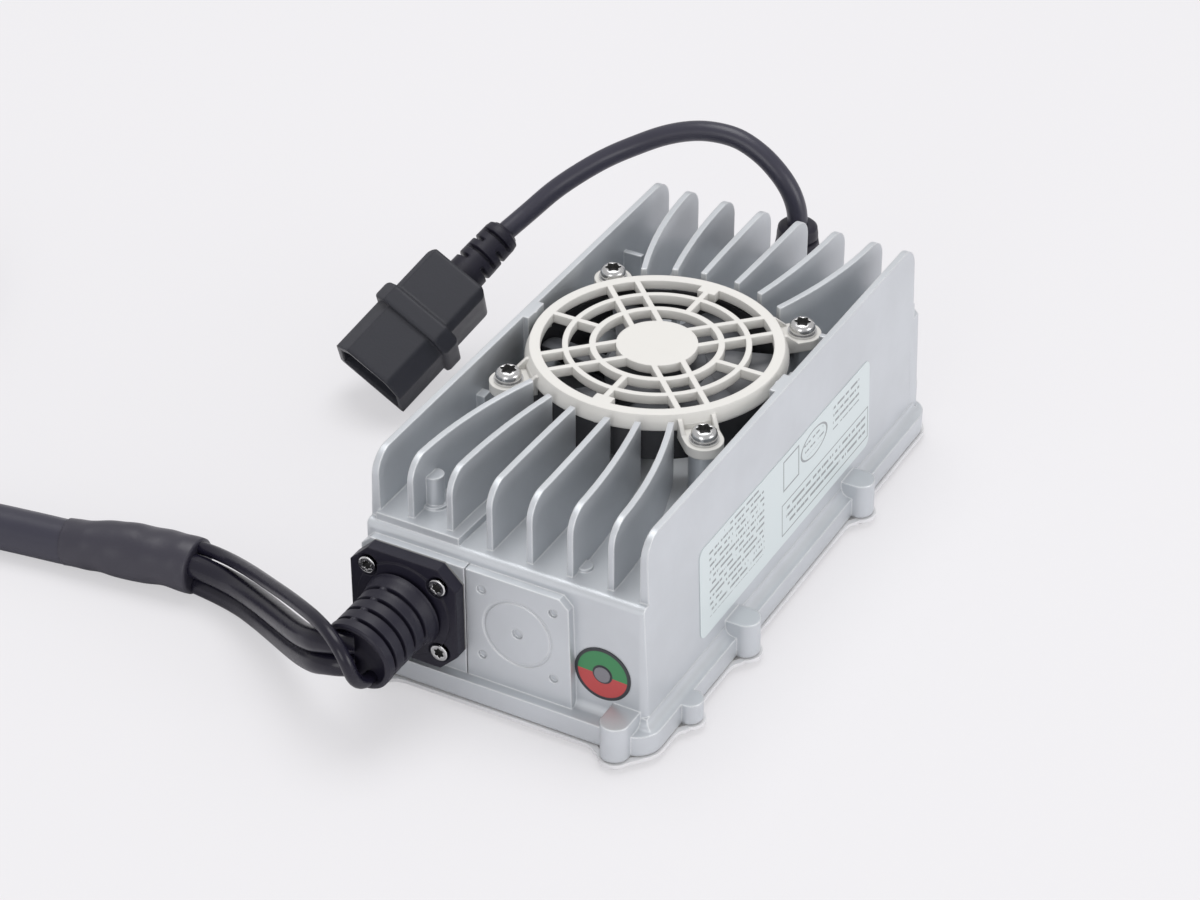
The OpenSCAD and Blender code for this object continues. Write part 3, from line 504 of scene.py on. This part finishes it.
# The cable entries: square black flanges with cut corners, each screwed over a gasket
# by four countersunk screws, one at the front left and one behind.
entry_black = Finish("entry_black", (0.010, 0.009, 0.019), 0.5, edge=0.0007, Specular_IOR_Level=0.35)
grainy = entry_black.noise(1100, 3)
entry_black.feed("Roughness", grainy * 0.2 + 0.38)
entry_black.relief(grainy, 0.00004)
for side in ("output", "input"):
    softened(side + "_flange", entry_black)
entry_z, screw_half, head_foot = 31.2, 11.85, 99.15
for side, x, way in (("output", -29.1, -1), ("input", -6.1, 1)):
    corners = [
        (x + screw_half * a, head_foot * way, entry_z + screw_half * b)
        for a in (-1, 1) for b in (-1, 1)
    ]
    scatter(side + "_flange_screw_heads", corners, (0, way, 0),
            lobed_head(flush, 0.0028, 0.0022, 0.0014, 0.0014), screw_tree,
            [side + "_flange_screws"])

# The boots: soft black rubber mouldings round the cables where they leave the case. The
# front one is straight, with an open mouth for the three cores, and the rear one is an
# elbow. Slots cut between the rings leave them flexible.


def spaced(points, count):
    """The same smooth line through the points, in metres, as count + 1 even steps."""
    points = [Vector(p) / 1000 for p in points]
    ends = [points[0] * 2 - points[1], *points, points[-1] * 2 - points[-2]]
    fine, splits = [], 24
    for a, b, c, d in zip(ends, ends[1:], ends[2:], ends[3:]):
        for k in range(splits):
            t = k / splits
            fine.append(0.5 * (2 * b + (c - a) * t + (2 * a - 5 * b + 4 * c - d) * t * t
                               + (3 * b - 3 * c + d - a) * t ** 3))
    fine.append(points[-1])
    run = [0.0]
    for a, b in zip(fine, fine[1:]):
        run.append(run[-1] + (b - a).length)
    line, k = [], 0
    for i in range(count + 1):
        want = run[-1] * i / count
        while k < len(run) - 2 and run[k + 1] < want:
            k += 1
        line.append(fine[k].lerp(fine[k + 1], (want - run[k]) / max(run[k + 1] - run[k], 1e-9)))
    return line, run[-1]


def swept(name, line, radius, around=96):
    """A closed skin round a line; radius(share of the points, angle) is in metres. Where
    the line turns back on itself, the skin goes down into a mouth."""
    count = len(line) - 1
    verts, side, ahead = [], Vector((0, 0, 1)), (line[1] - line[0]).normalized()
    for i, point in enumerate(line):
        step = (line[min(i + 1, count)] - line[max(i - 1, 0)]).normalized()
        ahead = step if step.dot(ahead) > 0 else -step
        side = (side - ahead * side.dot(ahead)).normalized()
        across = ahead.cross(side)
        for k in range(around):
            angle = 2 * math.pi * k / around
            r = radius(i / count, angle)
            verts.append(point + side * (r * math.cos(angle)) + across * (r * math.sin(angle)))
    faces = between_rings(count, around)
    verts += [line[0], line[-1]]
    faces += [((k + 1) % around, k, len(verts) - 2) for k in range(around)]
    faces += [(count * around + k, count * around + (k + 1) % around, len(verts) - 1) for k in range(around)]
    mesh = bpy.data.meshes.new(name)
    mesh.from_pydata(verts, [], faces)
    shape = bmesh.new()
    shape.from_mesh(mesh)
    bmesh.ops.recalc_face_normals(shape, faces=shape.faces)
    for face in shape.faces:
        face.smooth = True
    shape.to_mesh(mesh)
    shape.free()
    blank = bpy.data.objects.new(name, mesh)
    scene.collection.objects.link(blank)
    return blank


def smooth_step(value, low, high):
    """0 below low, 1 above high, and a smooth rise between."""
    t = min(max((value - low) / (high - low), 0.0), 1.0)
    return t * t * (3 - 2 * t)


def along_stops(stops, share):
    """The radius at this share of a length, eased between stops of (share, radius)."""
    for (a, ra), (b, rb) in zip(stops, stops[1:]):
        if share <= b:
            return ra + (rb - ra) * smooth_step(share, a, b) if b > a else rb
    return stops[-1][1]


def slotted(stops, first, last, rings, depth, share_cut, bridge):
    """Radius of a moulding whose rings are cut by narrow slots; bridge(ring, angle) is 0
    where the slot is bridged and 1 where it is open."""
    def radius(share, angle):
        r = along_stops(stops, share)
        if first < share < last:
            place = (share - first) / (last - first) * rings
            ring = int(place)
            off_centre = abs(place - ring - 0.5) * 2
            cut = 1 - smooth_step(off_centre, share_cut * 0.75, share_cut * 1.35)
            r -= depth * cut * bridge(ring, angle)
        return r / 1000
    return radius


def three_bridges(ring, angle):
    """Slots with three narrow bridges, which stand in line from ring to ring."""
    return smooth_step(abs(math.sin(1.5 * (angle - math.radians(12)))), 0.08, 0.2)


def two_slots(ring, angle):
    """Two wide slots in every ring, a quarter turn on from those in the ring before."""
    return smooth_step(math.cos(2 * (angle + 0.9) + math.pi * (ring % 2)), -0.62, -0.38)


boot_rubber = Finish("boot_rubber", (0.010, 0.009, 0.019), 0.46, Specular_IOR_Level=0.35)
bloom = boot_rubber.noise(150, 4)
boot_rubber.feed("Roughness", bloom * 0.22 + 0.36)
boot_rubber.relief(boot_rubber.noise(1600, 2), 0.00003)
root, lip = Vector((-29.1, -101.2, 31.2)) / 1000, Vector((-30.9, -124.6, 28.7)) / 1000
steps, mouth_floor = 236, 0.93
line = [root.lerp(lip, i / steps) for i in range(steps + 1)] + [root.lerp(lip, mouth_floor)]
stops = [(0, 12.8), (0.03, 12.6), (0.19, 11.8), (0.3, 11.5), (0.84, 11.5), (0.87, 11.7), (0.965, 11.7),
         (0.988, 11.2), (0.995, 10.2), (1, 9.8)]
boot = swept("output_boot_rubber", line, slotted(stops, 0.118, 0.928, 4, 1.5, 0.23, three_bridges))
finished(boot, "output_boot_rubber", boot_rubber, "charger", ["output_boot"])
input_bend = [(-6.1, 101.2, 31.2), (-6.1, 105.8, 31.8), (-6.1, 109.8, 34.4), (-6.2, 112.6, 38.4),
              (-6.3, 113.8, 43.2), (-6.4, 114, 48.6), (-6.4, 114, 55)]
line, _ = spaced(input_bend, 120)
stops = [(0, 13.2), (0.04, 13), (0.08, 12), (0.45, 9.2), (0.88, 6.9), (0.96, 6.6), (0.99, 5.8), (1, 4.6)]
elbow = swept("input_elbow", line, slotted(stops, 0.1, 0.88, 8, 1.3, 0.3, two_slots))
finished(elbow, "input_elbow", boot_rubber, "charger", ["input_boot"])

# The leads: black PVC cords. The mains lead arches over to its plug, and three cores
# bend out of the front boot to a shrunk sleeve, where they enter the sheathed cable.
cord_black = Finish("cord_black", (0.029, 0.028, 0.045), 0.36)
streak = cord_black.noise(80, 3)
cord_black.feed("Roughness", streak * 0.16 + 0.28)
cord_black.relief(cord_black.noise(500, 2), 0.00004)


def laid(name, line, diameter, stands_for, finish=cord_black):
    """A round cord along a line, in place of some CAD nodes."""
    curve = bpy.data.curves.new(name, "CURVE")
    curve.dimensions = "3D"
    curve.bevel_depth = diameter / 2
    curve.bevel_resolution = 7
    curve.use_fill_caps = True
    strand = curve.splines.new("POLY")
    strand.points.add(len(line) - 1)
    for point, place in zip(strand.points, line):
        point.co = (*place, 1)
    strand.use_smooth = True
    curve.materials.append(finish.material)
    piece = bpy.data.objects.new(name, curve)
    scene.collection.objects.link(piece)
    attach(piece, "charger")
    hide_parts(*stands_for)
    return piece


lead_thick, power_thick, sense_thick, cable_thick = 0.0068, 0.0074, 0.0042, 0.0144
lead_route = [(-96.6, 76.4, 45.5), (-92.1, 84.2, 50.3), (-86.6, 91.5, 56.3), (-80, 97, 62),
              (-72.5, 102.6, 67.3), (-64, 106.8, 72.2), (-54.5, 109.8, 77.2), (-45.4, 111.8, 80.4),
              (-37, 113, 81.6), (-28.6, 113.8, 80.8), (-20.5, 114, 77.2), (-14, 114, 72),
              (-9.6, 114, 66.4), (-7.2, 114, 60.6), (-6.4, 114, 55)]
core_routes = {
    "core_positive": (power_thick, [
        (-32.6, -122.4, 32.8), (-36.4, -124.9, 32.8), (-40.4, -125.4, 32), (-44.6, -124.8, 30.5),
        (-51, -121.6, 27.8), (-59.4, -116, 24.4), (-68.4, -109.8, 20.9), (-77, -104, 17.6),
        (-85.6, -98.8, 14.7), (-94.4, -94.6, 12.5), (-103, -92.6, 11.8), (-112, -91.8, 11.7)]),
    "core_negative": (power_thick, [
        (-32.6, -122.4, 24.4), (-36.4, -124.6, 24.4), (-40.4, -124.9, 23.6), (-44.4, -124, 21.9),
        (-49.4, -121.2, 19.4), (-56.4, -116.3, 16), (-64.6, -110.4, 12.5), (-73.4, -104.2, 9.1),
        (-82.4, -98.5, 6.3), (-91.8, -93.9, 4.5), (-101.6, -91.4, 3.9), (-112, -90.4, 4.2)]),
    "core_sense": (sense_thick, [
        (-26.9, -122.4, 22.2), (-27, -126, 22.7), (-27.2, -129, 24.5), (-27.5, -131.2, 27.4),
        (-28.1, -132.2, 30.8), (-29.6, -132.2, 34.2), (-32.6, -131, 37), (-37.2, -128.6, 38.6),
        (-44, -124.6, 38.2), (-52, -119.6, 36), (-61, -113.8, 32.8), (-70.6, -107.6, 29),
        (-80.4, -101.2, 25), (-89.8, -95.2, 21), (-98, -90.6, 17.8), (-105.4, -87.8, 15.8),
        (-112, -86.9, 15)]),
}
cable_route = [(-146, -94.2, 7.6), (-155, -95.9, 7.3), (-166, -97.4, 7.2), (-179, -99.4, 7.2),
               (-196, -102.3, 7.2), (-228, -107.8, 7.2), (-260, -113.4, 7.2), (-292, -118.9, 7.2)]
coil_middle, first_radius, first_angle, flat_turns, tail_degrees = (-339, -39.4), 86.4, -78.7, 2, 99.3
turn_pitch, lying_z, tail_up, tail_out = 14.4, 7.2, 15.6, 13.2


def coil_point(turn):
    """Place on the flat coil after this many turns; the tail then climbs on to them."""
    angle = math.radians(first_angle - 360 * turn)
    r = first_radius - turn_pitch * turn
    climb = max(turn - flat_turns, 0) * 360 / tail_degrees
    z = lying_z + tail_up * smooth_step(climb, 0, 1)
    r += tail_out * smooth_step(climb, 0.4, 1)
    return (coil_middle[0] + r * math.cos(angle), coil_middle[1] + r * math.sin(angle), z)


flat_steps, tail_steps, tail_turns = 24, 12, tail_degrees / 360
cable_route += [coil_point(i / flat_steps) for i in range(flat_turns * flat_steps + 1)]
cable_route += [coil_point(flat_turns + tail_turns * (i + 1) / tail_steps) for i in range(tail_steps)]
sleeve_route = [(-110.8, -89, 9.2), (-117, -89.4, 9.2), (-125, -90.4, 9.1), (-133, -91.8, 8.9),
                (-141, -93.4, 8.6), (-149, -94.8, 8), (-155, -95.9, 7.6)]
line, _ = spaced(sleeve_route, 90)
sleeve_stops = [(0, 7.9), (0.012, 8.9), (0.05, 9), (0.45, 8.9), (0.62, 8.5), (0.8, 7.95), (1, 7.45)]


def shrunk(share, angle):
    """Radius of the sleeve, which has creased where it shrank on to the cores."""
    r = along_stops(sleeve_stops, share)
    fade = smooth_step(share, 0.02, 0.15) * (1 - smooth_step(share, 0.8, 1))
    r += fade * (0.22 * math.cos(2 * angle + 9 * share) + 0.12 * math.cos(3 * angle - 14 * share + 1)
                 + 0.10 * math.sin(26 * share + 2 * math.sin(angle)))
    return r / 1000


sleeve = swept("shrunk_sleeve", line, shrunk)
shrink_black = Finish("shrink_black", (0.031, 0.029, 0.043), 0.4)
shrink_black.feed("Roughness", shrink_black.noise(60, 3) * 0.2 + 0.3)
shrink_black.relief(shrink_black.noise(260, 4, 0.6), 0.00012)
sleeve = finished(sleeve, "shrunk_sleeve", shrink_black, "charger", ["output_sleeve"])

core_black = Finish("core_black", (0.009, 0.008, 0.017), 0.26, Specular_IOR_Level=0.36)
core_black.feed("Roughness", core_black.noise(80, 3) * 0.14 + 0.19)
core_black.relief(core_black.noise(300, 2), 0.00006)
for name, (thick, route) in core_routes.items():
    line, length = spaced(route, 60)
    core = laid(name + "_cord", line, thick, [name], core_black)

# The mains plug: a black moulded shroud with two cut corners round three pins, a raised
# grip behind it, and a strain relief like the elbow's that is moulded on with the lead.
plug_black = Finish("plug_black", (0.024, 0.025, 0.033), 0.4, edge=0.0018, Specular_IOR_Level=0.35)
satin = plug_black.noise(220, 3)
plug_black.feed("Roughness", satin * 0.2 + 0.32)
plug_black.relief(plug_black.noise(1300, 2), 0.00002)
plug = softened("plug_body", plug_black)
turned = Matrix.Translation(Vector((-0.117, 0.0206, 0.0133)))
for degrees, axis in ((-7, "Z"), (22.7, "Y"), (31.1, "X")):
    turned = turned @ Matrix.Rotation(math.radians(degrees), 4, axis)
grip_from, grip_long, steps = 0.0454, 0.0222, 110
line = [turned @ Vector((0, grip_from + grip_long * i / steps, 0)) for i in range(steps + 1)]
stops = [(0, 6.7), (0.3, 6.6), (0.86, 6.3), (0.94, 6), (1, 4.6)]
grip = swept("plug_relief", line, slotted(stops, 0.18, 0.88, 4, 1.7, 0.3, two_slots))
grip = finished(grip, "plug_relief", boot_rubber, "charger", ["plug_boot"])
nickel = Finish("plated_contacts", (0.62, 0.60, 0.55), 0.25, 1.0)
dress("plug_pins", nickel)
line, length = spaced(lead_route[::-1], 90)
lead = laid("mains_cord", line, lead_thick, ["input_lead"])

# The battery connector: a flat grey two-pole housing with plated blade contacts, which
# grips the end of the output cable. It lies on the coiled cable, outside the view.
cover_grey = Finish("cover_grey", (0.16, 0.165, 0.17), 0.5, edge=0.001)
cover_grey.relief(cover_grey.noise(900, 3), 0.00003)
shell = softened("connector_housing", cover_grey)
dress("connector_contacts", nickel)
line, length = spaced(cable_route, 420)
cable = laid("output_cord", line, cable_thick, ["output_cable", "output_coil", "output_tail"])

# The light on the front: a printed film disc with a black ring, a green and a red half
# and a clear lens in the middle, stuck on the right of the front face.
print_disc = Finish("indicator_print", (0.03, 0.03, 0.035), 0.35)
x, _, z = print_disc.axes()
across, up = x * 1000 - 32.8, z * 1000 - 24.9
reach = (across * across + up * up) ** 0.5
halves = (up + 0.3 + across * 0.05).ease(-0.12, 0.12)
paint = print_disc.blend(halves, (0.45, 0.05, 0.05), (0.035, 0.21, 0.075))
inside = reach.ease(3.1, 3.4) * (1 - reach.ease(7.9, 8.2))
print_disc.feed("Base Color", print_disc.blend(inside, (0.022, 0.024, 0.03), paint))
dress("led_label", print_disc)
lens_grey = Finish("indicator_lens", (0.16, 0.155, 0.175), 0.18, Coat_Weight=0.6)
dress("led_lens", lens_grey)

# The rating label: a pale printed polyester film on the right wall. Its rows of small
# print are plain broken bars, with a bare square, a bare oval and a ruled box.
label = Finish("rating_print", (0.60, 0.66, 0.67), 0.34)
_, y, z = label.axes()
along, height = y * 1000, z * 1000


def rows(y0, y1, z0, z1, pitch, bar, gap=0.47):
    """Bars in rows inside a rectangle, broken into word-like pieces."""
    row = label.node("Math", {"operation": "FLOOR"}, {0: height / pitch})
    spot = label.node("CombineXYZ", sockets={0: along * 0.55, 1: row * 7.3, 2: 0.0})
    words = label.noise(1.0, 2, 0.7, spot) > gap
    field = along.between(y0, y1) * height.between(z0, z1)
    return field * words * ((height % pitch) < bar)


def frame_lines(y0, y1, z0, z1, thick):
    """The four sides of a rectangle, drawn this thick."""
    outer = along.between(y0, y1) * height.between(z0, z1)
    inner = along.between(y0 + thick, y1 - thick) * height.between(z0 + thick, z1 - thick)
    return outer - inner


oval = ((along - 17.5) / 9.0) ** 2.0 + ((height - 43.2) / 4.6) ** 2.0
inked = rows(-53, -17, 23.6, 46.8, 2.3, 0.85) + rows(-44, -20, 46.8, 49.4, 2.3, 0.8)
inked = inked + rows(31, 50, 39.4, 48.2, 2.6, 0.9, 0.44) + rows(10.5, 24.5, 40.6, 45.8, 2.5, 0.7)
inked = inked + rows(-2, 55, 23.2, 32, 2.7, 1.0, 0.44) + oval.between(0.9, 1.12)
inked = inked + frame_lines(-5, 57, 21.6, 33.2, 0.45) + frame_lines(-4, 7, 37.6, 48.6, 0.6)
inked = inked.math("MINIMUM", inked, 1.0)
label.feed("Base Color", label.blend(inked * 0.78, (0.60, 0.66, 0.67), (0.16, 0.17, 0.18)))
dress("rating_label", label)

# Inside the case: the circuit board on its spacers with the converter's parts soldered
# on, and a row of power transistors clamped against the left wall to shed their heat.
solder_mask = Finish("solder_mask", (0.012, 0.11, 0.04), 0.35)
x, y, _ = solder_mask.axes()
tracks = ((x * 1000 + (y * 90).wave() * 1.5) % 5.0) < 0.9
solder_mask.feed("Base Color", solder_mask.blend(tracks * 0.5, (0.012, 0.11, 0.04), (0.05, 0.24, 0.10)))
black_resin = Finish("chip_resin", (0.02, 0.02, 0.022), 0.55)
black_resin.relief(black_resin.noise(1200, 2), 0.00002)
ferrite = Finish("ferrite_grey", (0.06, 0.06, 0.065), 0.6, 0.2)
ferrite.relief(ferrite.noise(800, 4), 0.00004)
tape = Finish("winding_tape", (0.62, 0.40, 0.05), 0.25, Coat_Weight=0.4)
tape.relief(tape.node("TexWave", {"bands_direction": "Z"}, {"Vector": tape.place(), "Scale": 160.0}), 0.0001)
sleeve_blue = Finish("capacitor_sleeve", (0.015, 0.022, 0.07), 0.25, Coat_Weight=0.3)
pad_pink = Finish("thermal_pad", (0.48, 0.24, 0.25), 0.8)
plain_steel = blasted("spring_steel", (0.52, 0.52, 0.53), 0.3, 1.0, 900.0, 0.00001)
ceramic = Finish("fuse_ceramic", (0.66, 0.60, 0.48), 0.5)
finishes = {
    "circuit_board": solder_mask, "control_board": solder_mask, "board_spacers": zinc, "board_screws": zinc,
    "transformer_core": ferrite, "transformer_winding": tape, "pfc_inductor": copper, "filter_choke": copper,
    "bulk_capacitors": sleeve_blue, "output_capacitors": sleeve_blue, "power_transistors": black_resin,
    "transistor_clamp": plain_steel, "insulator_pad": pad_pink, "fuse": ceramic, "relay": black_resin,
}
for node, finish in finishes.items():
    dress(node, finish)
